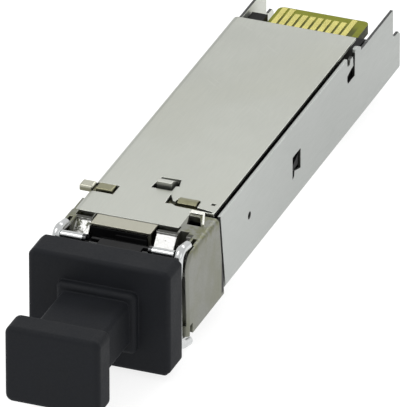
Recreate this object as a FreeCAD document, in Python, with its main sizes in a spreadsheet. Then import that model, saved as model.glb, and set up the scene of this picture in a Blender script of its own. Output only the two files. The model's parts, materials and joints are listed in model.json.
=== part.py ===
"""Small form-factor optical transceiver module, with its dust plug and bail latch.

Frame, in millimetres: X across, Y from the optical end towards the card edge, Z from the label face
towards the latch face. The origin is on the label face, under the shoulder of the latch boss.
"""

import FreeCAD
import Part
import Sketcher
import math
import os
import re

from FreeCAD import Rotation, Vector

SIZES = {
    # sheet-metal case
    "case_half": 6.7,
    "case_height": 8.5,
    "sheet_gauge": 0.3,
    "bend_outer": 0.6,
    "case_rear": 45.0,
    "cover_front": -6.9,
    "cover_rear": 34.6,
    "seam_edge": 6.0,
    "wall_top": 8.38,
    "wall_front_top": -3.3,
    "wall_front_low": -1.95,
    "ear_upper_rear": 43.0,
    "ear_upper_top": 7.5,
    "ear_lower_top": 4.4,
    "seam_gap": 0.15,
    "running_gap": 0.05,
    # openings in the case
    "boss_left": -1.0,
    "boss_right": 0.5,
    "finger_slot_front": -3.05,
    "finger_slot_rear": -1.25,
    "side_window_front": 15.6,
    "side_window_rear": 17.8,
    "side_window_low": 2.7,
    "side_window_top": 5.1,
    "clip_hole_front": 30.1,
    "clip_hole_rear": 32.3,
    "clip_hole_low": 5.6,
    "clip_hole_top": 6.75,
    "clip_notch_low": 7.75,
    "vent_radius": 0.4,
    "vent_along": 4.2,
    "vent_level": 4.7,
    "label_length": 27.0,
    "label_half": 5.6,
    "label_front": 4.5,
    "label_depth": 0.06,
    # nose casting
    "nose_half": 6.85,
    "nose_height": 8.6,
    "nose_front_top": -12.4,
    "nose_front_low": -11.9,
    "nose_rear_top": -4.15,
    "nose_rear_low": -2.8,
    "cheek_inner": 5.7,
    "deck_level": 8.15,
    "deck_front": -8.45,
    "recess_floor": 6.9,
    "bulkhead_front": -3.9,
    "bulkhead_rear": 1.5,
    "port_spacing": 6.25,
    "optic_level": 4.15,
    "channel_half": 1.75,
    # bail
    "wire_radius": 0.45,
    "pivot_along": -12.4,
    "pivot_level": 8.75,
    "trunnion_start": 3.38,
    "hook_along": -12.45,
    "hook_top": 9.2,
    "hook_end": -10.3,
    "leg_offset": 6.08,
    "leg_along": -12.95,
    "foot_along": -9.6,
    "foot_drop": 1.6,
    "crank_arm": 0.9,
    "crank_pin_radius": 0.3,
    # dust plug
    "flange_half": 7.05,
    "flange_front": -17.34,
    "flange_rear": -13.9,
    "flange_low": -1.42,
    "flange_top": 9.5,
    "flange_corner": 0.5,
    "neck_half": 3.4,
    "neck_low": 1.6,
    "neck_top": 6.3,
    "grip_half": 4.7,
    "grip_front": -29.05,
    "grip_rear": -26.06,
    "grip_low": -0.07,
    "grip_top": 7.78,
    # circuit board
    "board_half": 4.65,
    "board_top": 6.25,
    "board_gauge": 1.0,
    "board_front": 8.0,
    "board_rear": 42.1,
    "pad_pitch": 0.8,
    "pad_width": 0.55,
    "pad_gauge": 0.05,
    "pad_short_rear": 41.1,
    "pad_long_rear": 41.9,
    "pad_front": 35.6,
}

doc = FreeCAD.newDocument("transceiver")
sheet = doc.addObject("Spreadsheet::Sheet", "dims")
for row, (alias, size) in enumerate(SIZES.items(), start=1):
    sheet.set(f"A{row}", alias)
    sheet.set(f"B{row}", str(size))
    sheet.setAlias(f"B{row}", alias)
doc.recompute()

ALIAS = re.compile("|".join(rf"\b{name}\b" for name in SIZES))
NODES = []


def cells(expression):
    """The expression with each size written as a cell of the sheet."""
    return ALIAS.sub(lambda word: f"dims.{word.group(0)}", str(expression))


def size(expression):
    """The value of an expression of the sheet's sizes."""
    return float(sheet.evalExpression(cells(expression)))


def bind(item, **properties):
    for name, expression in properties.items():
        item.setExpression(name.replace("__", "."), cells(expression))


def place(item, x, y, z):
    bind(item, Placement__Base__x=x, Placement__Base__y=y, Placement__Base__z=z)


def box(name, x, y, z):
    """A block between pairs of limits along X, Y and Z."""
    item = doc.addObject("Part::Box", name)
    bind(item, Length=f"({x[1]}) - ({x[0]})", Width=f"({y[1]}) - ({y[0]})", Height=f"({z[1]}) - ({z[0]})")
    place(item, x[0], y[0], z[0])
    return item


def rod(name, axis, start, end, across, radius):
    """A cylinder along axis from start to end, with across its two other coordinates in X, Y, Z order."""
    item = doc.addObject("Part::Cylinder", name)
    bind(item, Radius=radius, Height=f"({end}) - ({start})")
    turn = {"X": Rotation(Vector(0, 1, 0), 90), "Y": Rotation(Vector(1, 0, 0), -90), "Z": Rotation()}[axis]
    item.Placement = FreeCAD.Placement(Vector(), turn)
    corner = list(across)
    corner.insert("XYZ".index(axis), start)
    place(item, *corner)
    return item


def profile_along_x(name, outline, x):
    """A prism along X on an outline of (y, z) points."""
    points = [Vector(size(x[0]), size(y), size(z)) for y, z in outline]
    face = Part.Face(Part.makePolygon(points + points[:1]))
    item = doc.addObject("Part::Feature", name)
    item.Shape = face.extrude(Vector(size(x[1]) - size(x[0]), 0, 0))
    return item


def profile_down(name, outline, z):
    """A prism along Z on an outline of (x, y) points."""
    points = [Vector(size(x), size(y), size(z[0])) for x, y in outline]
    face = Part.Face(Part.makePolygon(points + points[:1]))
    item = doc.addObject("Part::Feature", name)
    item.Shape = face.extrude(Vector(0, 0, size(z[1]) - size(z[0])))
    return item


def fuse(name, items):
    item = doc.addObject("Part::MultiFuse", name)
    item.Shapes = items
    item.Refine = True
    return item


def cut(name, base, tools):
    item = doc.addObject("Part::Cut", name)
    item.Base = base
    item.Tool = tools[0] if len(tools) == 1 else fuse(f"{name}_tools", tools)
    item.Refine = True
    return item


def edges_where(shape, test):
    return [number for number, edge in enumerate(shape.Edges, start=1) if test(edge)]


def straight_along(edge, axis):
    if edge.Curve.TypeId != "Part::GeomLine":
        return False
    return abs(abs(edge.Curve.Direction.dot(axis)) - 1) < 1e-6


def rounded(name, base, radius, test):
    """The base with the edges that pass the test rounded."""
    doc.recompute()
    item = doc.addObject("Part::Fillet", name)
    item.Base = base
    item.Edges = [(number, radius, radius) for number in edges_where(base.Shape, test)]
    return item


def bevelled(name, base, leg, test):
    doc.recompute()
    item = doc.addObject("Part::Chamfer", name)
    item.Base = base
    item.Edges = [(number, leg, leg) for number in edges_where(base.Shape, test)]
    return item


def piece(item, label):
    """Names an object as one separate piece of the module."""
    item.Label = label
    NODES.append(item)
    return item


def group(label, items):
    """Separate equal solids kept in one piece of the list."""
    item = doc.addObject("Part::Compound", label + "_group")
    item.Links = items
    return piece(item, label)


def new_body(name):
    item = doc.addObject("PartDesign::Body", name)
    return item


def sketch_on(body, role, name, offset="0"):
    item = body.newObject("Sketcher::SketchObject", name)
    plane = [feature for feature in body.Origin.OriginFeatures if feature.Role == role][0]
    item.AttachmentSupport = [(plane, "")]
    item.MapMode = "FlatFace"
    bind(item, AttachmentOffset__Base__z=offset)
    return item


def draw_loop(sketch, points):
    """A closed outline, each corner held by two driving distances from the sketch's origin."""
    places = [(size(u), size(w)) for u, w in points]
    count = len(places)
    first = sketch.GeometryCount
    for index, (u, w) in enumerate(places):
        end = places[(index + 1) % count]
        sketch.addGeometry(Part.LineSegment(Vector(u, w, 0), Vector(end[0], end[1], 0)))
    for index in range(count):
        line = first + index
        sketch.addConstraint(Sketcher.Constraint("Coincident", line, 2, first + (index + 1) % count, 1))
    for index, (u, w) in enumerate(points):
        for kind, value, expression in (("DistanceX", places[index][0], u),
                                        ("DistanceY", places[index][1], w)):
            number = sketch.addConstraint(Sketcher.Constraint(kind, -1, 1, first + index, 1, value))
            sketch.setExpression(f"Constraints[{number}]", cells(expression))


def draw_circle(sketch, u, w, radius):
    place_at = Vector(size(u), size(w), 0)
    circle = sketch.addGeometry(Part.Circle(place_at, Vector(0, 0, 1), size(radius)))
    for kind, expression in (("DistanceX", u), ("DistanceY", w)):
        value = size(expression)
        number = sketch.addConstraint(Sketcher.Constraint(kind, -1, 1, circle, 3, value))
        sketch.setExpression(f"Constraints[{number}]", cells(expression))
    number = sketch.addConstraint(Sketcher.Constraint("Radius", circle, size(radius)))
    sketch.setExpression(f"Constraints[{number}]", cells(radius))


def rectangle(u, w):
    return [(u[0], w[0]), (u[1], w[0]), (u[1], w[1]), (u[0], w[1])]


def pad(body, sketch, length, reverse=False):
    item = body.newObject("PartDesign::Pad", sketch.Name + "_pad")
    item.Profile = sketch
    item.Reversed = reverse
    bind(item, Length=length)
    sketch.Visibility = False
    doc.recompute()
    return item


def pocket(body, sketch, length, reverse=False):
    """A pocket that has to take material away."""
    before = body.Shape.Volume
    item = body.newObject("PartDesign::Pocket", sketch.Name + "_pocket")
    item.Profile = sketch
    item.Reversed = reverse
    bind(item, Length=length)
    doc.recompute()
    if body.Shape.Volume > before - 1e-6:
        raise RuntimeError(f"{item.Name} cuts nothing")
    return item


def body_fillet(body, radius, test):
    doc.recompute()
    base = body.Tip
    item = body.newObject("PartDesign::Fillet", f"{body.Name}_round{len(body.Group)}")
    item.Base = (base, [f"Edge{number}" for number in edges_where(base.Shape, test)])
    bind(item, Radius=radius)
    doc.recompute()
    return item


def sided(limits, sign):
    """Limits along X on the right side (1) or mirrored to the left (-1)."""
    return limits if sign > 0 else (f"-({limits[1]})", f"-({limits[0]})")


X_AXIS = Vector(1, 0, 0)
Y_AXIS = Vector(0, 1, 0)
Z_AXIS = Vector(0, 0, 1)


def ear_outline(step):
    """Side view of what is cut away above and behind a rear ear, past the points of its step."""
    beyond = "case_rear + 1"
    above = "case_height + 1"
    return [*step, ("ear_upper_rear", "ear_upper_top"),
            ("ear_upper_rear", "ear_lower_top"), ("case_rear - 0.4", "ear_lower_top"),
            ("case_rear", "ear_lower_top - 0.4"), (beyond, "ear_lower_top - 0.4"), (beyond, above)]


def wall_front_outline():
    """Side view of what is cut away in front of the slanted front edge of a wall."""
    return [("cover_front - 1", "-1"), ("wall_front_low", "-1"), ("wall_front_low", "0"),
            ("wall_front_top", "case_height - sheet_gauge"), ("cover_front - 1", "case_height - sheet_gauge")]


def make_cover():
    """Latch-side plate with the left wall bent down from it."""
    body = new_body("cover_body")
    flat = sketch_on(body, "XZ_Plane", "cover_section", "-case_rear")
    draw_loop(flat, [("seam_edge", "case_height"), ("-case_half", "case_height"),
                     ("-case_half", "sheet_gauge + seam_gap"),
                     ("sheet_gauge - case_half", "sheet_gauge + seam_gap"),
                     ("sheet_gauge - case_half", "case_height - sheet_gauge"),
                     ("seam_edge", "case_height - sheet_gauge")])
    pad(body, flat, "case_rear - cover_front")
    outer = (-size("case_half"), size("case_height"))
    inner = (size("sheet_gauge - case_half"), size("case_height - sheet_gauge"))

    def at_corner(corner):
        def test(edge):
            middle = edge.CenterOfMass
            away = math.hypot(middle.x - corner[0], middle.z - corner[1])
            return straight_along(edge, Y_AXIS) and away < 0.01
        return test

    body_fillet(body, "bend_outer", at_corner(outer))
    body_fillet(body, "bend_outer - sheet_gauge", at_corner(inner))
    across = "case_half + 1"
    step = [("cover_rear", "case_height + 1"), ("cover_rear", "ear_upper_top")]
    for name, outline in (("cover_ears", ear_outline(step)), ("cover_wall_front", wall_front_outline())):
        side = sketch_on(body, "YZ_Plane", name, across)
        draw_loop(side, outline)
        pocket(body, side, "2 * case_half + 2")
    top = sketch_on(body, "XY_Plane", "cover_openings", "case_height + 0.1")
    draw_loop(top, [("boss_left - 0.4", "-0.45"), ("boss_right + 0.2", "-0.45"), ("boss_right + 0.2", "0.5"),
                    ("boss_right + 0.55", "0.6"), ("boss_right + 0.25", "1.9"), ("boss_left - 0.15", "1.8")])
    draw_loop(top, [("0.85", "-1.05"), ("0.93", "-2.85"), ("1.6", "-2.75"), ("2.1", "finger_slot_front"),
                    ("5.75", "-3.2"), ("5.72", "-2.9"), ("4.05", "-2.6"), ("4.0", "finger_slot_rear - 0.1"),
                    ("1.85", "finger_slot_rear - 0.1"), ("1.75", "-2.2"), ("1.5", "-2.2")])
    draw_loop(top, rectangle(("5.1", "5.5"), ("-1.75", "-1.35")))
    draw_loop(top, rectangle(("3.9", "seam_edge + 1"), ("cover_front - 1", "finger_slot_front - 0.25")))
    pocket(body, top, "sheet_gauge + 0.2")
    left = sketch_on(body, "XY_Plane", "cover_left_slot", "case_height + 0.1")
    draw_loop(left, rectangle(("-case_half - 1", "-4.2"), ("finger_slot_front", "finger_slot_rear")))
    pocket(body, left, "0.8")
    return piece(body, "latch_side_cover")


def make_label_shell():
    """Label-side sheet with the right wall bent up from it."""
    body = new_body("shell_body")
    flat = sketch_on(body, "XZ_Plane", "shell_section", "-case_rear")
    draw_loop(flat, [("seam_gap - case_half", "0"), ("case_half", "0"), ("case_half", "wall_top"),
                     ("case_half - sheet_gauge", "wall_top"), ("case_half - sheet_gauge", "sheet_gauge"),
                     ("seam_gap - case_half", "sheet_gauge")])
    pad(body, flat, "case_rear - wall_front_top")
    corners = ((size("case_half"), 0.0, "bend_outer"),
               (size("case_half - sheet_gauge"), size("sheet_gauge"), "bend_outer - sheet_gauge"))
    for x_at, z_at, radius in corners:
        body_fillet(body, radius, lambda edge: straight_along(edge, Y_AXIS) and math.hypot(
            edge.CenterOfMass.x - x_at, edge.CenterOfMass.z - z_at) < 0.01)
    step = [("cover_rear - 1.4", "case_height + 1"), ("cover_rear - 1.4", "wall_top"),
            ("cover_rear - 0.5", "wall_top - 0.45"), ("cover_rear - 0.5", "ear_upper_top")]
    for name, outline in (("shell_ear", ear_outline(step)), ("shell_wall_front", wall_front_outline())):
        side = sketch_on(body, "YZ_Plane", name, "case_half + 1")
        draw_loop(side, outline)
        pocket(body, side, "2 * case_half + 2")
    holes = sketch_on(body, "YZ_Plane", "shell_side_holes", "case_half + 1")
    front, rear, low = "side_window_front", "side_window_rear", "side_window_low"
    draw_loop(holes, [(front, low), (f"{front} + 0.45", f"{low} + 0.1"), (f"{front} + 0.6", f"{low} + 0.7"),
                      (rear, f"{low} + 0.25"), (rear, "side_window_top"), (front, "side_window_top")])
    front, rear, notch = "clip_hole_front", "clip_hole_rear", "clip_notch_low"
    draw_loop(holes, [(f"{front} + 0.25", "clip_hole_low + 0.4"), (f"{front} + 0.5", "clip_hole_low"),
                      (f"{rear} + 0.15", "clip_hole_low"), (f"{rear} + 0.2", f"{notch} + 0.25"),
                      (f"{rear} + 0.6", "wall_top + 1"), (f"{front} + 0.1", "wall_top + 1"),
                      (f"{front} + 0.3", f"{notch} - 0.2"), (f"{front} + 0.9", f"{notch} - 0.35"),
                      (f"{front} + 1.15", f"{notch} + 0.15"), (f"{rear} - 0.4", f"{notch} + 0.15"),
                      (f"{rear} - 0.3", "clip_hole_top + 0.15"), (f"{front} + 1.1", "clip_hole_top"),
                      (f"{front} + 0.3", "clip_hole_top - 0.25")])
    pocket(body, holes, "2 * case_half - 2")
    vent = sketch_on(body, "YZ_Plane", "shell_vent", "case_half + 1")
    draw_circle(vent, "vent_along", "vent_level", "vent_radius")
    pocket(body, vent, "2 * case_half - 2")
    recess = sketch_on(body, "XY_Plane", "shell_label_recess")
    draw_loop(recess, rectangle(("-label_half", "label_half"), ("label_front", "label_front + label_length")))
    pocket(body, recess, "label_depth", reverse=True)
    return piece(body, "label_side_shell")


def make_label():
    """Blank label in its shallow recess."""
    edge = "running_gap"
    item = box("label_sheet", (f"-label_half + {edge}", f"label_half - {edge}"),
               (f"label_front + {edge}", f"label_front + label_length - {edge}"), ("0", "label_depth"))
    return piece(item, "blank_label")


def make_nose():
    """Die-cast nose: cheeks, floor, deck for the slider, saddles for the bail and the optics' bulkhead."""
    beyond = "nose_height + 1"
    outer = profile_along_x("nose_outer", [
        ("nose_front_low", "0"), ("nose_rear_low", "0"), ("nose_rear_top", "nose_height"),
        ("nose_front_top", "nose_height")], ("-nose_half", "nose_half"))
    half = size("nose_half")
    outer = rounded("nose_front_round", outer, 1.6, lambda edge: straight_along(edge, X_AXIS)
                    and edge.CenterOfMass.z > half and edge.CenterOfMass.y < -10)
    outer = rounded("nose_top_round", outer, 0.45, lambda edge: edge.CenterOfMass.z > half
                    and edge.CenterOfMass.z > size("nose_height") - 0.01 and straight_along(edge, Y_AXIS))
    inner_half = "case_half - sheet_gauge - running_gap"
    neck = box("nose_neck", (f"-({inner_half})", "cheek_inner + 0.2"), ("-5", "bulkhead_rear"),
               ("sheet_gauge + running_gap", "deck_level"))
    neck = bevelled("nose_neck_edges", neck, 0.3, lambda edge: straight_along(edge, Y_AXIS))
    arms = [box(f"boss_arm_{side}", limits, ("bulkhead_rear - 0.3", "3"), ("7.1", "7.87"))
            for side, limits in (("a", ("-2.75", "-channel_half")), ("b", ("channel_half", "2.75")))]
    solid = fuse("nose_solid", [outer, neck] + arms)
    deck_rooms = [
        box("plate_room", ("-nose_half - 1", "3.95"), ("cover_front - 0.15", "nose_rear_top + 2"),
            ("deck_level", beyond)),
        box("lip_room", ("-4.25", "1.95"), ("nose_front_top - 1", "cover_front"), ("7.8", beyond)),
        box("tunnel", ("-4.2", "channel_half"), ("deck_front - 1", "-5.6"), ("7", beyond)),
        box("side_plate_room", ("channel_half - 0.15", "2.3"), ("deck_front - 1", "-6.6"), ("6.85", beyond)),
        box("channel", ("-channel_half", "channel_half"), ("deck_front - 1", "3.5"), ("7", beyond)),
        box("boss_seat", ("-2.8", "2.8"), ("-0.58", "3.5"), ("7.87", beyond)),
        box("collar_room", ("-nose_half", "seam_edge"), ("-2.7", "-0.95"), ("7.85", beyond)),
        box("collar_gutter", ("-nose_half", "seam_edge"), ("-3.45", "-2.65"), ("7.2", beyond)),
        box("pocket_left", ("-6.0", "-4.3"), ("-8.0", "-6.75"), ("6.6", beyond)),
        box("pocket_right", ("2.0", "4.15"), ("-8.0", "-6.75"), ("6.6", beyond)),
        box("pocket_cheek", ("4.35", "5.25"), ("deck_front - 0.6", "-7.5"), ("recess_floor", beyond)),
        profile_down("pocket_corner",
                     [("4.0", "-4.45"), ("5.1", "-4.45"), ("5.85", "-6.15"), ("4.4", "-6.15")],
                     ("7.2", beyond))]
    front = "nose_front_top - 1"
    front_rooms = [
        box("front_recess", ("-cheek_inner", "cheek_inner"), (front, "deck_front"), ("recess_floor", beyond)),
        box("receptacle_cavity", ("-cheek_inner + 0.1", "cheek_inner - 0.1"), (front, "bulkhead_front"),
            ("0.9", "recess_floor + 0.1")),
        box("floor_setback", ("-cheek_inner", "cheek_inner"), (front, "-11.45"), ("-1", beyond))]
    front_blocks = [profile_along_x(f"front_block_{side}", [
        ("deck_front - 1.35", "recess_floor"), ("-7.98", "recess_floor"), ("-7.98", "nose_height - 0.1"),
        ("deck_front + 0.1", "nose_height - 0.1")], across)
        for side, across in (("a", ("-5.75", "-4.22")), ("b", ("2.32", "4.3")))]
    bores = [rod(f"optic_bore_{side}", "Y", "bulkhead_front - 1", "bulkhead_rear + 1",
                 (f"{sign} * port_spacing / 2", "optic_level"), "2.7")
             for side, sign in (("a", -1), ("b", 1))]
    screws = [rod(f"screw_hole_{level}", "Y", "-2.5", "bulkhead_rear + 1", ("0", level), "0.42")
              for level in ("1.3", "6.45")]
    leg_room = ("cheek_inner - 0.08", "leg_offset + wire_radius + 0.04")
    cheek_cuts = []
    saddles = []
    for side, sign in (("a", -1), ("b", 1)):
        for name, across, along, up in (
                ("groove", ("6.0", "6.4"), (front, "-8.5"), ("7.3", beyond)),
                ("leg_channel", leg_room, (front, "-11.5"), ("1.15", beyond)),
                ("swing_room", leg_room, (front, "hook_end + 0.5"), ("6.1", beyond)),
                ("foot_notch", ("cheek_inner + 0.4", "nose_half + 1"), ("-11.6", "-10.85"), ("-1", "1.1"))):
            cheek_cuts.append(box(f"{name}_{side}", sided(across, sign), along, up))
        for name, along, up in (("arm", ("pivot_along - 0.4", "-10.6"), ("7.2", "7.7")),
                                ("ridge", ("pivot_along - 0.4", "pivot_along + 0.55"), ("7.4", "8.55"))):
            saddles.append(box(f"saddle_{name}_{side}", sided(("3.95", "5.5"), sign), along, up))
    carved = cut("nose_carved", solid, deck_rooms + front_rooms + bores + screws + cheek_cuts)
    trunnion = rod("trunnion_groove", "X", "-cheek_inner - 1", "cheek_inner + 1",
                   ("pivot_along", "pivot_level"), "wire_radius + running_gap")
    whole = fuse("nose_with_saddles", [carved] + front_blocks + saddles)
    return piece(cut("nose_cut", whole, [trunnion]), "nose_housing")


def make_clip():
    """Thin grounding clip standing on the right of the nose's deck."""
    up = ("nose_height", "nose_height + 0.25")
    fence = profile_down("clip_fence", [("5.1", "-3.75"), ("5.3", "-3.75"), ("6.1", "-6.05"),
                                        ("5.88", "-6.05")], up)
    lip = profile_down("clip_lip", [("3.98", "-3.75"), ("5.25", "-3.75"), ("5.35", "-4.3"),
                                    ("3.98", "-4.3")], up)
    return piece(fuse("clip_solid", [fence, lip]), "grounding_clip")


def make_receptacle():
    """Black duplex receptacle with its two square ports."""
    block = box("receptacle_block", ("-5.5", "5.5"), ("-11.4", "bulkhead_front - running_gap"),
                ("0.95", "recess_floor - running_gap"))
    tools = []
    for side, sign in (("a", -1), ("b", 1)):
        centre = f"{sign} * port_spacing / 2"
        tools.append(box(f"port_{side}", (f"{centre} - 2.3", f"{centre} + 2.3"), ("-12", "-4.6"),
                         ("optic_level - 2.3", "optic_level + 2.3")))
        tools.append(rod(f"port_hole_{side}", "Y", "-5", "-3", (centre, "optic_level"), "1.6"))
    return piece(cut("receptacle_cut", block, tools), "lc_receptacle")


def make_optics(side, sign):
    """One optical sub-assembly: receptacle sleeve, body, can and the flex circuit to the board."""
    centre = f"{sign} * port_spacing / 2"
    spot = (centre, "optic_level")
    tube = rod(f"{side}_tube", "Y", "-9.2", "-2.95", spot, "1.5")
    bore = rod(f"{side}_bore", "Y", "-9.3", "-2.9", spot, "0.63")
    piece(cut(f"{side}_sleeve_cut", tube, [bore]), f"{side}_sleeve")
    piece(rod(f"{side}_barrel", "Y", "-2.9", "2.4", spot, "2.6"), f"{side}_body")
    flange = rod(f"{side}_flange", "Y", "2.45", "3.0", spot, "2.6")
    can = rod(f"{side}_cap", "Y", "3.0", "5.55", spot, "2.1")
    piece(fuse(f"{side}_can_solid", [flange, can]), f"{side}_can")
    upright = box(f"{side}_flex_upright", (f"{centre} - 1.3", f"{centre} + 1.3"), ("5.6", "5.75"),
                  ("optic_level - 1.2", "board_top + 0.2"))
    run = box(f"{side}_flex_run", (f"{centre} - 1.3", f"{centre} + 1.3"), ("5.6", "10.0"),
              ("board_top + 0.05", "board_top + 0.2"))
    piece(fuse(f"{side}_flex_solid", [upright, run]), f"{side}_flex")


def make_clamp():
    """Plate that holds both optical bodies against the bulkhead, and its two screws."""
    plate = box("clamp_plate", ("-6.2", "6.2"), ("bulkhead_rear + running_gap", "2.2"), ("0.5", "6.95"))
    tools = [rod(f"clamp_bore_{side}", "Y", "1", "3", (f"{sign} * port_spacing / 2", "optic_level"), "2.68")
             for side, sign in (("a", -1), ("b", 1))]
    tools += [rod(f"clamp_hole_{level}", "Y", "1", "3", ("0", level), "0.45") for level in ("1.3", "6.45")]
    piece(cut("clamp_cut", plate, tools), "optics_clamp")
    screws = []
    for number, level in enumerate(("1.3", "6.45")):
        shank = rod(f"screw_shank_{number}", "Y", "-2.3", "2.3", ("0", level), "0.4")
        head = rod(f"screw_head_{number}", "Y", "2.22", "2.62", ("0", level), "0.49")
        screws.append(fuse(f"clamp_screw_{number}", [shank, head]))
    group("clamp_screws", screws)


def make_board():
    """Circuit card with rounded rear corners, its edge contacts and the parts on it."""
    body = new_body("board_body")
    outline = sketch_on(body, "XY_Plane", "board_outline", "board_top")
    draw_loop(outline, rectangle(("-board_half", "board_half"), ("board_front", "board_rear")))
    pad(body, outline, "board_gauge", reverse=True)
    rear = size("board_rear")
    body_fillet(body, "0.6", lambda edge: straight_along(edge, Z_AXIS) and edge.CenterOfMass.y > rear - 0.1)
    piece(body, "circuit_board")
    for face, shift, low in (("latch", "-0.5 * pad_pitch", "board_top"),
                             ("label", "0.5 * pad_pitch", "board_top - board_gauge - pad_gauge")):
        pads = []
        for number in range(10):
            middle = f"({number - 4.5} * pad_pitch + {shift})"
            rear_end = "pad_long_rear" if number in (0, 1, 9) else "pad_short_rear"
            pads.append(box(f"{face}_pad_{number}", (f"{middle} - pad_width / 2", f"{middle} + pad_width / 2"),
                            ("pad_front", rear_end), (low, f"{low} + pad_gauge")))
        group(f"{face}_side_contacts", pads)
    chips = {
        "laser_driver": (-2.2, 14.0, 3.0, 3.0),
        "receive_amplifier": (2.2, 15.0, 3.0, 3.0),
        "controller": (0.2, 22.5, 4.0, 4.0),
    }
    for name, (x, y, wide, long) in chips.items():
        item = box(f"{name}_chip", (f"{x - wide / 2}", f"{x + wide / 2}"),
                   (f"{y - long / 2}", f"{y + long / 2}"), ("board_top", "board_top + 0.85"))
        chip = bevelled(f"{name}_bevel", item, 0.12,
                        lambda edge: edge.CenterOfMass.z > size("board_top + 0.8"))
        piece(chip, name)
    spots = [(-3.6, 18.5), (-2.2, 18.5), (-0.8, 18.5), (3.6, 19.5), (-3.5, 27.5), (-2.0, 27.5), (1.8, 27.5),
             (3.4, 27.5), (-3.3, 31.0), (3.3, 31.0)]
    parts = [box(f"passive_{number}", (f"{x - 0.25}", f"{x + 0.25}"), (f"{y - 0.5}", f"{y + 0.5}"),
                 ("board_top", "board_top + 0.5")) for number, (x, y) in enumerate(spots)]
    group("passives", parts)


def make_tray():
    """Black inner tray: floor, rails beside the card, a snap in the side window."""
    inner = "case_half - sheet_gauge - 2 * running_gap"
    floor = box("tray_floor", (f"0.2 - ({inner})", f"{inner} - 0.2"), ("3.2", "36"),
                ("sheet_gauge + running_gap", "1.2"))
    left = box("rail_left", (f"-({inner})", "-4.1"), ("8.2", "36"), ("0.7", "6.2"))
    right = box("rail_right", ("4.1", inner), ("8.2", "36"), ("0.7", "6.2"))
    tab_rise = ("5.3", "6.9")
    tabs = [box("rail_tab_left", (f"-({inner})", "-board_half - running_gap"), ("35.9", "38.9"), tab_rise),
            box("rail_tab_right", ("board_half + running_gap", inner), ("35.9", "37.5"), tab_rise)]
    snap = profile_along_x("tray_snap_block",
                           [("15.9", "3.5"), ("17.4", "3.5"), ("17.4", "4.6"), ("15.9", "3.9")],
                           ("6", "case_half - 0.15"))
    fence = box("rail_fence", ("5.35", inner), ("3.2", "36"), ("0.7", "7.6"))
    card_slot = box("card_slot", ("-board_half - running_gap", "board_half + running_gap"), ("8", "45"),
                    ("board_top - board_gauge - running_gap - 0.02", "7"))
    rib = box("tab_rib", ("-6.1", "-5.3"), ("36.9", "37.15"), ("6.8", "7.0"))
    solid = fuse("tray_solid", [floor, left, right, fence, snap, rib] + tabs)
    return piece(cut("tray_cut", solid, [card_slot]), "inner_tray")


def make_boss():
    """Latch boss: shoulder at Y = 0, ramp to the rear, and the base it is seated by."""
    boss = profile_along_x("boss_wedge",
                           [("0", "7.87"), ("0", "9.0"), ("0.55", "9.0"), ("1.5", "8.5"), ("1.7", "8.1"),
                            ("2.0", "8.1"), ("2.0", "7.87")],
                           ("boss_left", "boss_right"))
    base = box("boss_base", ("-2.65", "2.65"), ("1.95", "2.9"), ("7.87", "deck_level"))
    return piece(fuse("boss_solid", [boss, base]), "latch_boss")


def make_collar():
    """Thin grounding collar under the cover's front, with the fingers that touch a cage."""
    low = "7.92"
    strip = box("collar_strip", ("-6.05", "seam_edge - 0.25"), ("-2.6", "-1.15"), (low, f"{low} + 0.14"))
    inner = box("collar_finger_left", ("-6.2", "-4.5"), ("-2.5", "-1.3"), (low, "8.56"))
    inner = rounded("finger_left_round", inner, 0.15, lambda edge: edge.CenterOfMass.z > 8.55)
    neck = box("collar_finger_neck", ("-6.6", "-6.1"), ("-2.4", "-1.45"), (low, "8.2"))
    outer = box("collar_finger_outer", ("-7.85", "-6.45"), ("-2.5", "-1.28"), ("8.0", "8.6"))
    outer = rounded("finger_outer_round", outer, 0.2, lambda edge: edge.CenterOfMass.z > 8.2)
    right = profile_along_x("collar_finger_right", [("-2.35", low), ("-2.35", "8.45"), ("-1.95", "8.66"),
                                                    ("-1.42", "8.58"), ("-1.42", low)], ("1.95", "3.85"))
    return piece(fuse("collar_solid", [strip, inner, neck, outer, right]), "grounding_collar")


def make_slider():
    """Black delatch slider: front yoke around the crank pins, shank under the cover, release posts."""
    yoke = box("yoke_block", ("-3.05", "3.05"), ("pivot_along - 0.55", "-11.2"), ("7.05", "8.4"))
    bridge = box("yoke_bridge", ("-3.05", "1.5"), ("-11.3", "-9.0"), ("7.05", "7.25"))
    shank = box("shank_bar", ("-1.55", "1.55"), ("-9.1", "4.0"), ("7.05", "7.75"))
    posts = [box(f"release_post_{side}", limits, ("0.55", "1.75"), ("7.7", "8.1"))
             for side, limits in (("a", ("-1.4", "-1.12")), ("b", ("1.12", "1.4")))]
    face = box("slider_face", ("-4.1", "1.5"), ("-9.0", "-8.6"), ("7.05", "8.15"))
    solid = fuse("slider_solid", [yoke, bridge, face, shank] + posts)
    slots = []
    for side, limits in (("a", ("-3.5", "-2.15")), ("b", ("2.15", "3.5"))):
        slots.append(box(f"crank_slot_{side}", limits, ("pivot_along + 0.01", "pivot_along + 0.89"),
                         ("7.42", "8.72")))
    piece(cut("slider_cut", solid, slots), "delatch_slider")
    lip = box("lip_plate", ("-4.15", "1.85"), ("-8.9", "cover_front - 0.12"), ("8.22", "8.47"))
    leg = box("lip_leg", ("-1.55", "1.3"), ("-8.2", "-7.9"), ("7.75", "8.3"))
    side = box("lip_side", ("1.6", "1.85"), ("-8.9", "-8.65"), ("7.0", "8.4"))
    return piece(fuse("lip_solid", [lip, leg, side]), "slider_lip")


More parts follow.
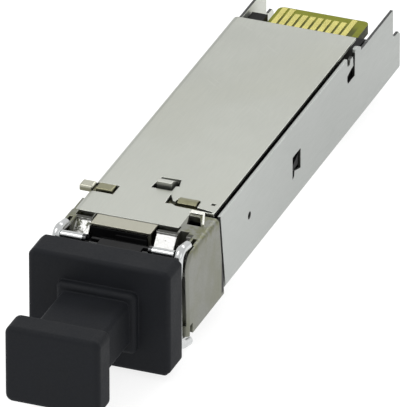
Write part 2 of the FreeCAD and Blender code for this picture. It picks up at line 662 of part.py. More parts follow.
def round_wire(name, points, bends, radius):
    """A round wire along a route of straight runs joined by tangent arcs."""
    edges = []
    start = points[0]
    for index in range(1, len(points) - 1):
        before = (points[index - 1] - points[index]).normalize()
        after = (points[index + 1] - points[index]).normalize()
        half_turn = (math.pi - before.getAngle(after)) / 2
        reach = bends[index - 1] * math.tan(half_turn)
        enter = points[index] + before * reach
        leave = points[index] + after * reach
        towards_centre = (before + after).normalize()
        middle = points[index] + towards_centre * (bends[index - 1] / math.cos(half_turn) - bends[index - 1])
        edges.append(Part.LineSegment(start, enter).toShape())
        edges.append(Part.Arc(enter, middle, leave).toShape())
        start = leave
    edges.append(Part.LineSegment(start, points[-1]).toShape())
    route = Part.Wire(edges)
    section = Part.Wire(Part.makeCircle(radius, points[0], points[1] - points[0]))
    item = doc.addObject("Part::Feature", name)
    item.Shape = route.makePipeShell([section], True, False)
    expected = math.pi * radius ** 2 * route.Length
    if abs(item.Shape.Volume / expected - 1) > 0.02:
        raise RuntimeError(f"{name}: volume {item.Shape.Volume:.2f}, expected {expected:.2f}")
    return item


def make_bail():
    """Bail: wire legs hooked over the nose's cheeks and curled under it, trunnions and cranks between."""
    pivot = (size("pivot_along"), size("pivot_level"))
    leg = size("leg_offset")
    half = [Vector(leg, size("hook_end"), size("hook_top") - 0.4),
            Vector(leg, size("hook_along"), size("hook_top")),
            Vector(leg, size("leg_along"), 6.2),
            Vector(leg, size("leg_along") + 0.15, -0.15), Vector(leg, -11.5, -1.05),
            Vector(leg - 0.05, size("foot_along"), -size("foot_drop"))]
    points = half + [Vector(-point.x, point.y, point.z) for point in reversed(half)]
    bends = [0.9, 1.5, 0.7, 1.0, 0.6]
    wire = round_wire("bail_route", points, bends + bends[::-1], size("wire_radius"))
    piece(wire, "bail_wire")
    cranks = []
    angle = math.radians(-60)
    arm = size("crank_arm")
    pin = (pivot[0] + arm * math.cos(angle), pivot[1] + arm * math.sin(angle))
    for side, sign in (("a", -1), ("b", 1)):
        discs = []
        for (y, z), radius in ((pivot, 0.45), (pin, size("crank_pin_radius"))):
            discs.append(Part.makeCylinder(radius, 0.26, Vector(sign * 3.12, y, z), Vector(sign, 0, 0)))
        along = Vector(0, pin[0] - pivot[0], pin[1] - pivot[1])
        web = Part.makeBox(0.26, along.Length, 0.56, Vector(0, 0, -0.28))
        web.Placement = FreeCAD.Placement(Vector(3.12 if sign > 0 else -3.38, *pivot),
                                          Rotation(Vector(0, 1, 0), along))
        stub = Part.makeCylinder(size("crank_pin_radius"), 0.9, Vector(sign * 2.22, *pin), Vector(sign, 0, 0))
        reach = leg - size("wire_radius") - size("trunnion_start") - 0.01
        trunnion = Part.makeCylinder(size("wire_radius"), reach, Vector(sign * size("trunnion_start"), *pivot),
                                     Vector(sign, 0, 0))
        link = discs[0].multiFuse([discs[1], web, stub, trunnion]).removeSplitter()
        item = doc.addObject("Part::Feature", f"crank_{side}")
        item.Shape = link
        cranks.append(item)
    group("bail_cranks", cranks)


def make_spring():
    """Return spring between the slider's shank and the case."""
    turns = 7
    wire = 0.13
    helix = Part.makeHelix(3.6 / turns, 3.6, 0.55)
    helix.Placement = FreeCAD.Placement(Vector(0, 4.15, 7.4), Rotation(Vector(1, 0, 0), -90))
    start = helix.Edges[0].valueAt(helix.Edges[0].FirstParameter)
    tangent = helix.Edges[0].tangentAt(helix.Edges[0].FirstParameter)
    section = Part.Wire(Part.makeCircle(wire, start, tangent))
    item = doc.addObject("Part::Feature", "spring_coil")
    item.Shape = Part.Wire(helix.Edges).makePipeShell([section], True, True)
    piece(item, "slider_spring")
    anchor = box("anchor_block", ("-2.2", "2.2"), ("7.95", "8.6"), ("6.7", "case_height - sheet_gauge"))
    return piece(anchor, "spring_anchor")


def make_plug():
    """Rubber dust plug: flange, raised pad, neck, grip and the two hollow prongs in the ports."""
    flange = box("plug_flange", ("-flange_half", "flange_half"), ("flange_front", "flange_rear"),
                 ("flange_low", "flange_top"))
    flange = bevelled("plug_flange_corners", flange, size("flange_corner"),
                      lambda edge: straight_along(edge, Y_AXIS))
    front = size("flange_front")
    flange = rounded("plug_flange_round", flange, 0.4, lambda edge: True)
    spread = box("plug_pad", ("-3.95", "3.95"), ("flange_front - 0.9", "flange_front + 0.8"), ("0.75", "7.0"))
    spread = rounded("plug_pad_round", spread, 0.5, lambda edge: edge.CenterOfMass.y < front + 0.5)
    neck = box("plug_neck", ("-neck_half", "neck_half"), ("grip_rear - 1", "flange_front + 1"),
               ("neck_low", "neck_top"))
    neck = rounded("plug_neck_round", neck, 0.6, lambda edge: straight_along(edge, Y_AXIS))
    grip = box("plug_grip", ("-grip_half", "grip_half"), ("grip_front", "grip_rear"), ("grip_low", "grip_top"))
    grip = rounded("plug_grip_corners", grip, 0.75, lambda edge: straight_along(edge, Y_AXIS))
    ends = (size("grip_front"), size("grip_rear"))
    grip = rounded("plug_grip_round", grip, 0.5,
                   lambda edge: min(abs(edge.CenterOfMass.y - end) for end in ends) < 0.1)
    seat = box("plug_seat", ("-4.5", "4.5"), ("flange_rear - 0.8", "flange_rear + 0.75"), ("1.4", "6.9"))
    prongs = []
    bores = []
    for side, sign in (("a", -1), ("b", 1)):
        centre = f"{sign} * port_spacing / 2"
        block = box(f"prong_{side}", (f"{centre} - 2.1", f"{centre} + 2.1"), ("flange_rear - 0.5", "-6.2"),
                    ("optic_level - 2.1", "optic_level + 2.1"))
        prongs.append(rounded(f"prong_round_{side}", block, 0.4, lambda edge: straight_along(edge, Y_AXIS)))
        bores.append(rod(f"prong_bore_{side}", "Y", "-9.8", "-6", (centre, "optic_level"), "1.6"))
    solid = fuse("plug_solid", [flange, spread, neck, grip, seat] + prongs)
    return piece(cut("plug_cut", solid, bores), "dust_plug")


def main():
    make_cover()
    make_label_shell()
    make_label()
    make_nose()
    make_clip()
    make_receptacle()
    make_optics("transmit", -1)
    make_optics("receive", 1)
    make_clamp()
    make_board()
    make_tray()
    make_boss()
    make_collar()
    make_slider()
    make_bail()
    make_spring()
    make_plug()
    doc.recompute()
    for item in doc.Objects:
        if "Invalid" in item.State or "Error" in item.State:
            raise RuntimeError(f"{item.Name} failed: {item.State}")
    os.makedirs("parts", exist_ok=True)
    for item in NODES:
        shape = item.Shape
        if shape.isNull() or not shape.isValid():
            raise RuntimeError(f"{item.Label} has no valid shape")
        shape.exportStep(f"parts/{item.Label}.step")
        print(f"{item.Label}: {len(shape.Solids)} solid(s), {shape.Volume:.2f} mm3")


main()
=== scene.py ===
"""Looks for the pluggable optical transceiver: materials, light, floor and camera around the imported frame.

Everything is in metres in the frame of the CAD: X across, Y from the optical end to the card edge, Z up.
"""
import json
import math

import bpy
from mathutils import Matrix, Vector


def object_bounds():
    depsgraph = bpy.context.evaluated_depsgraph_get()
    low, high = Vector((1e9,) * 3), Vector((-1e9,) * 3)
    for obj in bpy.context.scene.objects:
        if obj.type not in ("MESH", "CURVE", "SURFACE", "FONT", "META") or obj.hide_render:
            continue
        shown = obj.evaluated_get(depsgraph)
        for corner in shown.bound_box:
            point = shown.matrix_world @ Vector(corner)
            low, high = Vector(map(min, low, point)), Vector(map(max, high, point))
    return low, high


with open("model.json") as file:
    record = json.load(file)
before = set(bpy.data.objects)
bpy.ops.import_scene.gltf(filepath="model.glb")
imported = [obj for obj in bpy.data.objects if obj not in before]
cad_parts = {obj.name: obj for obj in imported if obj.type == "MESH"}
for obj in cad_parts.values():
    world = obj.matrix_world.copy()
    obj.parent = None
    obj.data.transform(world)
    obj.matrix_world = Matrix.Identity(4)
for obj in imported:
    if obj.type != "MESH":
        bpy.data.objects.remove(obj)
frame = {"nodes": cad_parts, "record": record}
CAD_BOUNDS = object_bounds()
NODES = frame["nodes"]
MM = 0.001
SKY_STRENGTH = 0.85
FLOOR_REACH = 1.5
FLOOR_GLOW = 0.82
LIGHT_TARGET = (0, 0.01, 0)
LIGHTS = {
    "key": {"place": (-0.5, -0.35, 0.9), "side": (0.5, 0.5), "power": 3.5},
    "fill": {"place": (0.9, -0.3, 0.5), "side": (0.5, 0.5), "power": 0.5},
    "rim": {"place": (0.1, 0.9, 0.7), "side": (0.8, 0.3), "power": 2.0},
}


def srgb(red, green, blue):
    """A linear colour from display values between 0 and 255."""
    def linear(value):
        share = value / 255
        return share / 12.92 if share <= 0.04045 else ((share + 0.055) / 1.055) ** 2.4
    return (linear(red), linear(green), linear(blue), 1.0)


def shade(colour, factor):
    return tuple(min(1.0, part * factor) for part in colour[:3]) + (1.0,)


class Finish:
    """One procedural material, built from a few kinds of node."""

    def __init__(self, name, roughness=0.5, metallic=0.0, **sockets):
        self.material = bpy.data.materials.new(name)
        self.material.use_nodes = True
        self.tree = self.material.node_tree
        self.shader = self.tree.nodes["Principled BSDF"]
        self.shader.inputs["Roughness"].default_value = roughness
        self.shader.inputs["Metallic"].default_value = metallic
        for socket, value in sockets.items():
            self.shader.inputs[socket.replace("_", " ")].default_value = value
        self.place = self.tree.nodes.new("ShaderNodeTexCoord").outputs["Object"]

    def node(self, kind, values=None, **settings):
        item = self.tree.nodes.new("ShaderNode" + kind)
        for name, value in settings.items():
            setattr(item, name, value)
        for key, value in (values or {}).items():
            if isinstance(value, bpy.types.NodeSocket):
                self.tree.links.new(value, item.inputs[key])
            else:
                item.inputs[key].default_value = value
        return item

    def stretched(self, scale, turn=(0, 0, 0)):
        """Object coordinates scaled along each axis, and turned first."""
        turned = self.node("Mapping", {"Vector": self.place, "Rotation": turn})
        return self.node("Mapping", {"Vector": turned.outputs[0], "Scale": scale}).outputs[0]

    def noise(self, size, detail=2.0, roughness=0.5, scale=(1, 1, 1), turn=(0, 0, 0), lift=0.0):
        """Smooth noise between 0 and 1 with features of about that size in metres."""
        where = self.stretched(scale, turn)
        if lift:
            where = self.node("VectorMath", {0: where, 1: (lift, lift, lift)}, operation="ADD").outputs[0]
        return self.node("TexNoise", {"Vector": where, "Scale": 1 / size, "Detail": detail,
                                      "Roughness": roughness}).outputs["Fac"]

    def spread(self, value, low, high, to_low=0.0, to_high=1.0):
        return self.node("MapRange", {"Value": value, "From Min": low, "From Max": high, "To Min": to_low,
                                      "To Max": to_high}, interpolation_type="SMOOTHSTEP").outputs[0]

    def math(self, operation, a, b=0.0):
        return self.node("Math", {0: a, 1: b}, operation=operation).outputs[0]

    def mix(self, share, a, b):
        item = self.node("Mix", data_type="RGBA")
        for socket, value in zip((item.inputs[0], item.inputs[6], item.inputs[7]), (share, a, b)):
            if isinstance(value, bpy.types.NodeSocket):
                self.tree.links.new(value, socket)
            else:
                socket.default_value = value
        return item.outputs[2]

    def axis(self, name):
        return self.node("SeparateXYZ", {0: self.place}).outputs[name]

    def lanes(self, pitch):
        """Distance from the middle of repeating lanes along X, as a share of their pitch."""
        share = self.math("FRACT", self.math("DIVIDE", self.axis("X"), pitch))
        return self.math("ABSOLUTE", self.math("SUBTRACT", share, 0.5))

    def between(self, value, low, high, soft):
        """1 between two limits and 0 outside, with soft edges."""
        rise = self.spread(value, low - soft, low + soft)
        fall = self.spread(value, high - soft, high + soft, 1.0, 0.0)
        return self.math("MULTIPLY", rise, fall)

    def painted_gap_shade(self, tone, top, soft=0.12 * MM, share=0.9):
        """Painted shade: the tone darkened below a level, standing in for the shadow in a gap."""
        depth = self.spread(self.axis("Z"), top - soft, top + soft, share, 0.0)
        return self.mix(depth, tone, srgb(22, 22, 20))

    def facing(self, name):
        """Share of the surface's true normal along one axis."""
        return self.node("SeparateXYZ", {0: self.node("NewGeometry").outputs["Normal"]}).outputs[name]

    def edge(self, radius):
        """(share near an edge, normal rounded over that radius)"""
        rounded = self.node("Bevel", {"Radius": radius}, samples=6).outputs[0]
        true = self.node("NewGeometry").outputs["Normal"]
        match = self.node("VectorMath", {0: rounded, 1: true}, operation="DOT_PRODUCT").outputs["Value"]
        return self.spread(match, 0.72, 0.99, 1.0, 0.0), rounded

    def bump(self, height, distance, strength=1.0, normal=None):
        values = {"Height": height, "Distance": distance, "Strength": strength}
        if normal is not None:
            values["Normal"] = normal
        return self.node("Bump", values).outputs[0]

    def finish(self, colour=None, roughness=None, normal=None):
        for socket, value in (("Base Color", colour), ("Roughness", roughness), ("Normal", normal)):
            if value is None:
                continue
            if isinstance(value, bpy.types.NodeSocket):
                self.tree.links.new(value, self.shader.inputs[socket])
            else:
                self.shader.inputs[socket].default_value = value
        return self.material


def cut_edge_and_painted_light_tone(f, tone, colour):
    """The tone with the case's sheared upper edges darkened, its front end faces darkened as painted seam
    shade, and its left inner wall lightened as painted light.
    """
    x, y, z = (f.axis(name) for name in "XYZ")
    low = f.spread(z, 8.0 * MM, 8.05 * MM, 1.0, 0.0)
    sheared = f.math("MULTIPLY", f.spread(f.facing("Z"), 0.5, 0.9), low)
    sheared = f.math("MULTIPLY", sheared, f.spread(z, 1.0 * MM, 1.1 * MM))
    tip = f.math("MAXIMUM", f.spread(z, 5.0 * MM, 5.1 * MM), f.spread(y, 43.5 * MM, 43.7 * MM))
    sheared = f.math("MULTIPLY", sheared, tip)
    # Painted seam shade: the front end faces darkened.
    seam_shade = f.math("MULTIPLY", f.spread(f.facing("Y"), -0.9, -0.5, 1.0, 0.0), low)
    tone = f.mix(f.math("MULTIPLY", sheared, 0.9), tone, srgb(46, 46, 48))
    tone = f.mix(f.math("MULTIPLY", seam_shade, 0.9), tone, srgb(66, 66, 63))
    # Painted light: the left inner wall, facing +X, lightened as if lit.
    inner = f.math("MULTIPLY", f.spread(f.facing("X"), 0.8, 0.95), f.spread(x, -5 * MM, -4 * MM, 1.0, 0.0))
    return f.mix(inner, tone, shade(colour, 1.35))


def sheet_metal(name, colour, roughness=0.36, tint=None, tint_share=0.35, grain=(1, 0.06, 1), lift=0.0,
                rounding=0.1 * MM, scuffs=1.0, cut_edges_and_painted_light=False, painted_shade_level=None, bright_left=False):
    """Satin plated sheet: cloudy tone, fine drawn grain, faint scuffs, brighter edges that are partly rubbed
    wear and partly painted highlight, and a painted highlight towards the front end.
    """
    f = Finish(name, metallic=1.0)
    cloud = f.noise(5 * MM, 3.0, 0.55, lift=lift)
    stain = f.spread(f.noise(9 * MM, 2.0, lift=lift + 0.3), 0.42, 0.68)
    lines = f.noise(0.11 * MM, 3.0, 0.6, scale=grain, lift=lift)
    scratch = f.spread(f.noise(0.16 * MM, 1.0, scale=(1, 0.025, 1), turn=(0, 0, 0.5), lift=lift), 0.69, 0.74)
    rub = f.spread(f.noise(0.2 * MM, 1.0, scale=(1, 0.03, 1), turn=(0, 0, -0.9), lift=lift + 0.1), 0.70, 0.75)
    handled = f.spread(f.noise(4 * MM, lift=lift), 0.5, 0.62)
    marks = f.math("MULTIPLY", f.math("MAXIMUM", scratch, rub), handled)
    worn_and_glint, soft = f.edge(rounding)
    tone = f.mix(f.spread(cloud, 0.3, 0.7), shade(colour, 0.955), shade(colour, 1.035))
    tone = f.mix(f.math("MULTIPLY", stain, tint_share), tone, tint or shade(colour, 0.93))
    tone = f.mix(f.spread(lines, 0.35, 0.65, 0.0, 0.22), tone, shade(colour, 0.9))
    if bright_left:
        x = f.axis("X")
        tone = f.mix(f.spread(x, -6.5 * MM, -6.4 * MM, 0.9, 0.0), tone, srgb(206, 206, 198))
        blotch = f.spread(f.noise(0.5 * MM, 3.0, 0.6, lift=0.4), 0.48, 0.62, 0.0, 0.55)
        blotch = f.math("MULTIPLY", blotch, f.spread(x, -6.3 * MM, -6.2 * MM))
        inner = f.math("MULTIPLY", f.between(x, -6.3 * MM, -4.3 * MM, 0.05 * MM), 0.45)
        tone = f.mix(f.math("MAXIMUM", blotch, inner), tone, srgb(92, 90, 62))
    # Painted shade below the given level, for the shadow in a gap.
    if painted_shade_level:
        tone = f.painted_gap_shade(tone, painted_shade_level)
    if cut_edges_and_painted_light:
        tone = cut_edge_and_painted_light_tone(f, tone, colour)
    # Edges lightened: partly rubbed wear, partly painted highlight.
    tone = f.mix(f.math("MULTIPLY", worn_and_glint, 0.6), tone, shade(colour, 1.7))
    tone = f.mix(f.math("MULTIPLY", marks, 0.3 * scuffs), tone, shade(colour, 1.2))
    # Painted highlight: the sheet lightened towards the front end, standing in for a light's sheen.
    tone = f.mix(f.spread(f.axis("Y"), -8 * MM, 26 * MM, 0.5, 0.0), tone, shade(colour, 1.22))
    rough = f.spread(f.math("ADD", f.math("MULTIPLY", cloud, 0.6), f.math("MULTIPLY", lines, 0.4)),
                     0.3, 0.7, roughness - 0.05, roughness + 0.07)
    rough = f.math("SUBTRACT", rough, f.math("MULTIPLY", worn_and_glint, 0.08))
    height = f.math("SUBTRACT", f.math("MULTIPLY", lines, 0.5), f.math("MULTIPLY", marks, 0.6 * scuffs))
    return f.finish(tone, rough, f.bump(height, 0.0025 * MM, 0.5, soft))


def cast_metal(name, colour, tint, painted_highlight):
    """Plated die casting: pitted skin, yellow-green patches, a painted highlight on the front faces of the
    pads, darkened pad tops, and painted shade on the parts under the cover and inside the case.
    """
    f = Finish(name, metallic=1.0)
    x, y, z = (f.axis(name_of) for name_of in "XYZ")
    across = f.math("ABSOLUTE", x)
    patch = f.spread(f.noise(4.5 * MM, 3.0), 0.45, 0.68)
    top = f.math("MULTIPLY", f.spread(z, 7.2 * MM, 8.3 * MM), f.spread(across, 4.2 * MM, 5.0 * MM))
    mottle = f.spread(f.noise(0.8 * MM, 3.0, 0.65), 0.4, 0.56)
    patch = f.math("MAXIMUM", f.math("MULTIPLY", patch, 0.5), f.math("MULTIPLY", top, mottle))
    skin = f.noise(0.16 * MM, 4.0, 0.65)
    grit = f.noise(0.45 * MM, 3.0, 0.7, lift=1.3)
    streak = f.noise(0.7 * MM, 3.0, 0.6, scale=(1, 1, 0.18))
    worn_and_glint, soft = f.edge(0.11 * MM)
    tone = f.mix(patch, colour, tint)
    tone = f.mix(f.spread(streak, 0.35, 0.7, 0.0, 0.3), tone, shade(colour, 0.86))
    tone = f.mix(f.spread(skin, 0.3, 0.7, 0.0, 0.25), tone, shade(colour, 1.12))
    pads = f.math("MULTIPLY", f.between(y, -9.9 * MM, -7.9 * MM, 0.05 * MM),
                  f.between(across, 2.2 * MM, 5.8 * MM, 0.02 * MM))
    pads = f.math("MULTIPLY", pads, f.spread(z, 6.9 * MM, 7.2 * MM))
    crown = f.math("MULTIPLY", pads, f.spread(f.facing("Z"), 0.8, 0.95))
    pads = f.math("MULTIPLY", pads, f.spread(f.facing("Y"), -0.5, -0.3, 1.0, 0.0))
    left = f.math("MULTIPLY", f.spread(x, -2 * MM, -1 * MM, 1.0, 0.0), f.spread(grit, 0.45, 0.62, 0.0, 0.85))
    right = f.math("MULTIPLY", f.spread(x, 1 * MM, 2 * MM), f.spread(grit, 0.58, 0.72, 0.0, 0.35))
    clean = f.math("SUBTRACT", 1.0, f.math("ADD", left, right))
    # Painted highlight on the front faces of the pads, except where gritty.
    tone = f.mix(f.math("MULTIPLY", pads, clean), tone, painted_highlight)
    tone = f.mix(f.math("MULTIPLY", pads, f.math("MAXIMUM", left, right)), tone, srgb(60, 62, 48))
    # Edges lightened: partly rubbed wear, partly painted highlight.
    tone = f.mix(f.math("MULTIPLY", worn_and_glint, 0.6), tone, shade(colour, 1.8))
    tone = f.mix(f.math("MULTIPLY", crown, 0.85), tone, srgb(52, 52, 50))
    # Painted shade: the parts inside the case and under the cover darkened.
    shaded_within = f.math("MULTIPLY", f.spread(y, -3.6 * MM, -3.3 * MM), f.spread(z, 0.2 * MM, 0.4 * MM))
    shaded_under_cover = f.math("MULTIPLY", f.spread(y, -6.0 * MM, -5.8 * MM), f.spread(z, 7.9 * MM, 8.1 * MM, 1.0, 0.0))
    shaded_under_cover = f.math("MULTIPLY", shaded_under_cover, f.spread(across, 6.5 * MM, 6.6 * MM, 1.0, 0.0))
    tone = f.mix(f.math("MAXIMUM", shaded_within, shaded_under_cover), tone, srgb(24, 24, 22))
    rough = f.math("SUBTRACT", f.spread(skin, 0.3, 0.7, 0.4, 0.54), f.math("MULTIPLY", worn_and_glint, 0.12))
    height = f.math("ADD", skin, f.math("MULTIPLY", f.math("MULTIPLY", pads, grit), 8.0))
    return f.finish(tone, rough, f.bump(height, 0.008 * MM, 0.6, soft))


def wire_metal(name, colour, roughness, pull=(1, 1, 1), rounding=0.03 * MM, painted_shade_within=None):
    """Bright drawn or turned metal with faint lines and handling marks, and painted shade on its upper part
    within a given distance of the middle.
    """
    f = Finish(name, metallic=1.0)
    lines = f.noise(0.06 * MM, 2.0, 0.6, scale=pull)
    smear = f.noise(1.2 * MM, 3.0, 0.6)
    soft = f.edge(rounding)[1]
    tone = f.mix(f.spread(smear, 0.35, 0.7, 0.0, 0.5), colour, shade(colour, 0.86))
    # Painted shade: the upper part within the given distance of the middle darkened.
    if painted_shade_within:
        shaded_within = f.spread(f.math("ABSOLUTE", f.axis("X")), painted_shade_within, painted_shade_within + 0.1 * MM, 0.9, 0.0)
        upper = f.spread(f.axis("Z"), 7 * MM, 7.2 * MM)
        tone = f.mix(f.math("MULTIPLY", shaded_within, upper), tone, srgb(30, 30, 32))
    rough = f.spread(f.math("ADD", f.math("MULTIPLY", smear, 0.7), f.math("MULTIPLY", lines, 0.3)),
                     0.3, 0.7, roughness * 0.7, roughness * 1.5)
    return f.finish(tone, rough, f.bump(lines, 0.0015 * MM, 0.5, soft))


def moulded(name, colour, roughness, grain=0.12 * MM, depth=0.004 * MM, dust=0.0, rounding=0.08 * MM,
            edge_wear_and_glint_lift=1.8, **sockets):
    """Moulded plastic or rubber: fine texture, soft tone changes, paler edges that are partly rubbed wear and
    partly painted highlight, and dust.
    """
    f = Finish(name, **sockets)
    texture = f.noise(grain, 3.0, 0.6)
    cloud = f.noise(3 * MM, 3.0, 0.55)
    worn_and_glint, soft = f.edge(rounding)
    tone = f.mix(f.spread(cloud, 0.3, 0.7), shade(colour, 0.9), shade(colour, 1.12))
    # Edges lightened: partly rubbed wear, partly painted highlight.
    tone = f.mix(f.math("MULTIPLY", worn_and_glint, 0.5), tone, shade(colour, edge_wear_and_glint_lift))
    if dust:
        specks = f.spread(f.noise(0.35 * MM, 4.0, 0.75, lift=0.7), 0.66, 0.74)
        tone = f.mix(f.math("MULTIPLY", specks, dust), tone, shade(colour, 3.2))
    rough = f.spread(f.math("ADD", f.math("MULTIPLY", texture, 0.5), f.math("MULTIPLY", cloud, 0.5)),
                     0.3, 0.7, roughness - 0.06, roughness + 0.08)
    return f.finish(tone, rough, f.bump(texture, depth, 0.6, soft))


def laminate(name, mask, copper, bare):
    """Circuit board: solder mask with raised copper tracks and vias, painted shade in the gaps between the
    contact pads, bare glass-fibre edges.
    """
    f = Finish(name, Coat_Weight=0.04, Coat_Roughness=0.25, Specular_IOR_Level=0.14)
    x, y, z = (f.axis(name_of) for name_of in "XYZ")
    track = f.math("MULTIPLY", f.spread(f.lanes(0.8 * MM), 0.13, 0.17, 1.0, 0.0),
                   f.between(y, 33 * MM, 35.7 * MM, 0.05 * MM))
    cells = f.node("TexVoronoi", {"Vector": f.place, "Scale": 900.0, "Randomness": 0.55},
                   distance="EUCLIDEAN")
    via = f.math("MULTIPLY", f.spread(cells.outputs["Distance"], 0.16, 0.2, 0.7, 0.0),
                 f.spread(y, 33 * MM, 34 * MM, 1.0, 0.0))
    plane = f.spread(f.noise(2.4 * MM, 0.0), 0.5, 0.52)
    side = f.math("MULTIPLY", f.spread(z, 5.27 * MM, 5.29 * MM), f.spread(z, 6.21 * MM, 6.23 * MM, 1.0, 0.0))
    tone = f.mix(f.math("MULTIPLY", plane, 0.35), mask, shade(mask, 0.82))
    tone = f.mix(f.math("MULTIPLY", track, 0.55), tone, copper)
    tone = f.mix(via, tone, shade(copper, 0.8))
    # Painted shade on the mask in the gaps between the contact pads.
    pad_gap_shade = f.math("MULTIPLY", f.spread(f.math("ABSOLUTE", x), 4.0 * MM, 4.05 * MM, 1.0, 0.0),
                 f.spread(y, 39.5 * MM, 41.2 * MM, 1.0, 0.0))
    tone = f.mix(f.math("MULTIPLY", pad_gap_shade, 0.85), tone, shade(mask, 0.26))
    tone = f.mix(side, tone, bare)
    weave = f.noise(0.3 * MM, 3.0, 0.6)
    rough = f.spread(weave, 0.3, 0.7, 0.38, 0.5)
    height = f.math("ADD", f.math("MULTIPLY", f.math("MAXIMUM", track, via), 0.7),
                    f.math("MULTIPLY", weave, 0.15))
    return f.finish(tone, rough, f.bump(height, 0.012 * MM, 0.6))


def plated_contacts(name, colour):
    """Gold contacts, darker along the wipe of the connector's springs and scored along Y."""
    f = Finish(name, metallic=1.0)
    wipe = f.spread(f.noise(0.09 * MM, 2.0, 0.6, scale=(1, 0.02, 1)), 0.45, 0.7)
    zone = f.between(f.axis("Y"), 38.6 * MM, 41.6 * MM, 0.5 * MM)
    mark = f.math("MULTIPLY", wipe, zone)
    soft = f.edge(0.02 * MM)[1]
    tone = f.mix(f.spread(f.noise(1.5 * MM, 2.0), 0.35, 0.65), shade(colour, 0.93), shade(colour, 1.06))
    tone = f.mix(f.math("MULTIPLY", mark, 0.5), tone, shade(colour, 0.72))
    rough = f.spread(mark, 0.0, 1.0, 0.26, 0.42)
    return f.finish(tone, rough, f.bump(mark, 0.002 * MM, 0.4, soft))


def paper(name, colour):
    """Blank label film: a faint fibre and a printed border line with no words."""
    f = Finish(name)
    fibre = f.noise(0.09 * MM, 4.0, 0.7)
    tone = f.mix(f.spread(fibre, 0.3, 0.7), shade(colour, 0.95), colour)
    across = f.math("ABSOLUTE", f.axis("X"))
    along = f.math("ABSOLUTE", f.math("SUBTRACT", f.axis("Y"), 18 * MM))
    rim_x = f.between(across, 5.05 * MM, 5.2 * MM, 0.01 * MM)
    rim_y = f.between(along, 12.75 * MM, 12.9 * MM, 0.01 * MM)
    inside_x = f.spread(across, 5.19 * MM, 5.21 * MM, 1.0, 0.0)
    inside_y = f.spread(along, 12.89 * MM, 12.91 * MM, 1.0, 0.0)
    rim = f.math("MULTIPLY", f.math("MAXIMUM", rim_x, rim_y), f.math("MULTIPLY", inside_x, inside_y))
    tone = f.mix(f.math("MULTIPLY", rim, 0.7), tone, srgb(120, 122, 124))
    return f.finish(tone, f.spread(fibre, 0.3, 0.7, 0.5, 0.62), f.bump(fibre, 0.003 * MM, 0.4))


def film(name, colour):
    """Amber flex circuit with copper runs showing through its cover film."""
    f = Finish(name, Coat_Weight=0.5, Coat_Roughness=0.15)
    run = f.spread(f.lanes(0.5 * MM), 0.14, 0.2, 1.0, 0.0)
    tone = f.mix(f.math("MULTIPLY", run, 0.5), colour, srgb(196, 120, 62))
    grain = f.noise(0.2 * MM, 3.0)
    return f.finish(tone, f.spread(grain, 0.3, 0.7, 0.3, 0.42), f.bump(run, 0.006 * MM, 0.5))


def ceramic(name, colour):
    """Small ceramic parts with a speckled tone."""
    f = Finish(name, roughness=0.45)
    speck = f.noise(0.12 * MM, 3.0)
    tone = f.mix(f.spread(speck, 0.3, 0.7), shade(colour, 0.85), shade(colour, 1.15))
    soft = f.edge(0.03 * MM)[1]
    return f.finish(tone, f.spread(speck, 0.3, 0.7, 0.36, 0.5), f.bump(speck, 0.004 * MM, 0.5, soft))


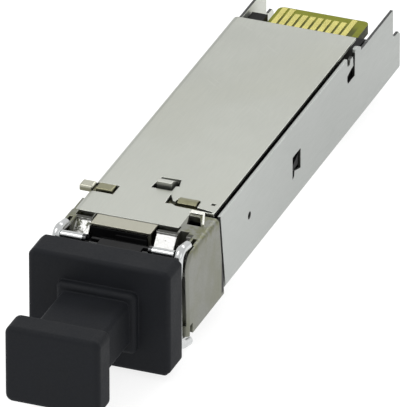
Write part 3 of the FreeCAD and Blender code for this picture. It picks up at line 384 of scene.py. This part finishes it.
NICKEL = srgb(176, 178, 171)
BLACK = srgb(16, 16, 18)
FINISHES = {
    "cover_metal": lambda: sheet_metal("cover_sheet", NICKEL, 0.40, tint=srgb(170, 171, 160), cut_edges_and_painted_light=True),
    "shell_metal": lambda: sheet_metal("shell_sheet", srgb(168, 171, 168), 0.40, lift=2.0, cut_edges_and_painted_light=True),
    "label_paper": lambda: paper("label_film", srgb(232, 232, 228)),
    "nose_casting": lambda: cast_metal("nose_casting", srgb(134, 135, 128), srgb(112, 113, 84),
                                       srgb(214, 214, 212)),
    "clip_metal": lambda: sheet_metal("clip_sheet", srgb(226, 226, 218), 0.3, lift=4.0),
    "receptacle_plastic": lambda: moulded("receptacle_plastic", BLACK, 0.5, Specular_IOR_Level=0.2),
    "sleeve_metal": lambda: wire_metal("ground_sleeve", srgb(196, 197, 196), 0.24, (1, 8, 1)),
    "optic_metal": lambda: wire_metal("turned_barrel", srgb(190, 187, 178), 0.3, (0.3, 6, 0.3)),
    "can_metal": lambda: wire_metal("gold_can", srgb(222, 190, 120), 0.26),
    "flex_film": lambda: film("flex_film", srgb(176, 104, 34)),
    "clamp_metal": lambda: sheet_metal("clamp_sheet", srgb(188, 189, 186), 0.4, lift=6.0),
    "screw_metal": lambda: wire_metal("screw_steel", srgb(170, 171, 172), 0.3),
    "board_laminate": lambda: laminate("board_mask", srgb(118, 122, 10), srgb(150, 150, 44), srgb(66, 68, 6)),
    "contact_gold": lambda: plated_contacts("contact_plating", srgb(208, 200, 116)),
    "chip_plastic": lambda: moulded("chip_epoxy", srgb(38, 38, 40), 0.5, rounding=0.03 * MM),
    "passive_ceramic": lambda: ceramic("passive_ceramic", srgb(150, 128, 100)),
    "tray_plastic": lambda: moulded("tray_plastic", srgb(17, 17, 18), 0.5, Specular_IOR_Level=0.12),
    "boss_metal": lambda: sheet_metal("boss_steel", srgb(182, 183, 176), 0.42, lift=8.0, scuffs=1.5,
                                      painted_shade_level=8.66 * MM),
    "collar_metal": lambda: sheet_metal("collar_spring", srgb(138, 137, 114), 0.36, tint=srgb(112, 110, 82),
                                        tint_share=0.8, lift=10.0, painted_shade_level=8.38 * MM, bright_left=True),
    "slider_plastic": lambda: moulded("slider_plastic", srgb(12, 12, 13), 0.5, Specular_IOR_Level=0.12),
    "lip_metal": lambda: sheet_metal("lip_sheet", srgb(166, 165, 152), 0.42, lift=12.0),
    "bail_steel": lambda: wire_metal("bail_chrome", srgb(204, 206, 206), 0.16, painted_shade_within=3.42 * MM),
    "spring_steel": lambda: wire_metal("spring_wire", srgb(170, 171, 170), 0.3),
    "plug_rubber": lambda: moulded("plug_rubber", srgb(20, 22, 26), 0.66, grain=0.2 * MM, depth=0.006 * MM,
                                   dust=0.35, rounding=0.25 * MM, edge_wear_and_glint_lift=1.9, Specular_IOR_Level=0.18),
}


def dress_nodes():
    """Gives each CAD node its procedural finish by the slot it has in the record."""
    made = {}
    for part in frame["record"]["subparts"]:
        slot = part["material_slot"]
        if slot not in made:
            made[slot] = FINISHES[slot]()
        NODES[part["node"]].material_slots[0].material = made[slot]


def add_floor(level):
    """Plain pale floor under the module."""
    mesh = bpy.data.meshes.new("floor")
    reach = FLOOR_REACH
    corners = [(-reach, -reach, level), (reach, -reach, level), (reach, reach, level), (-reach, reach, level)]
    mesh.from_pydata(corners, [], [(0, 1, 2, 3)])
    floor = bpy.data.objects.new("floor", mesh)
    bpy.context.scene.collection.objects.link(floor)
    f = Finish("floor_paint")
    tone = f.mix(f.noise(0.02, 3.0), (0.28, 0.28, 0.28, 1), (0.30, 0.30, 0.30, 1))
    f.shader.inputs["Emission Color"].default_value = (1, 1, 1, 1)
    f.shader.inputs["Emission Strength"].default_value = FLOOR_GLOW
    mesh.materials.append(f.finish(tone, 0.9))


def add_light(name, place, side, power):
    """White area light that points at the module."""
    lamp = bpy.data.lights.new(name, "AREA")
    lamp.shape = "RECTANGLE"
    lamp.size, lamp.size_y = side
    lamp.energy = power
    item = bpy.data.objects.new(name, lamp)
    item.location = place
    item.rotation_euler = (Vector(LIGHT_TARGET) - Vector(place)).to_track_quat("-Z", "Y").to_euler()
    bpy.context.scene.collection.objects.link(item)


def add_world():
    """Even white surroundings."""
    world = bpy.data.worlds.new("studio")
    world.use_nodes = True
    back = world.node_tree.nodes["Background"]
    back.inputs["Color"].default_value = (1, 1, 1, 1)
    back.inputs["Strength"].default_value = SKY_STRENGTH
    bpy.context.scene.world = world


def add_camera():
    """Long lens, looking down from the front right with the optical end nearest."""
    azimuth, elevation = math.radians(21.16), math.radians(28.586)
    distance, lens = 1058.45 * MM, 985.41
    right = Vector((math.cos(azimuth), math.sin(azimuth), 0))
    ahead = Vector((-math.sin(azimuth) * math.cos(elevation), math.cos(azimuth) * math.cos(elevation),
                    -math.sin(elevation)))
    up = right.cross(ahead)
    aim = Vector((0, 17, 4.25)) * MM - right * 2.6905 * MM - up * 5.3504 * MM
    data = bpy.data.cameras.new("camera")
    data.lens = lens
    data.sensor_width = 36
    data.clip_start, data.clip_end = 0.05, 10
    camera = bpy.data.objects.new("camera", data)
    camera.matrix_world = Matrix((right, up, -ahead)).transposed().to_4x4()
    camera.location = aim - ahead * distance
    bpy.context.scene.collection.objects.link(camera)
    bpy.context.scene.camera = camera


dress_nodes()
add_floor(CAD_BOUNDS[0].z)
add_world()
for light_name, settings in LIGHTS.items():
    add_light(light_name, **settings)
add_camera()
bpy.context.scene.view_settings.view_transform = "Standard"
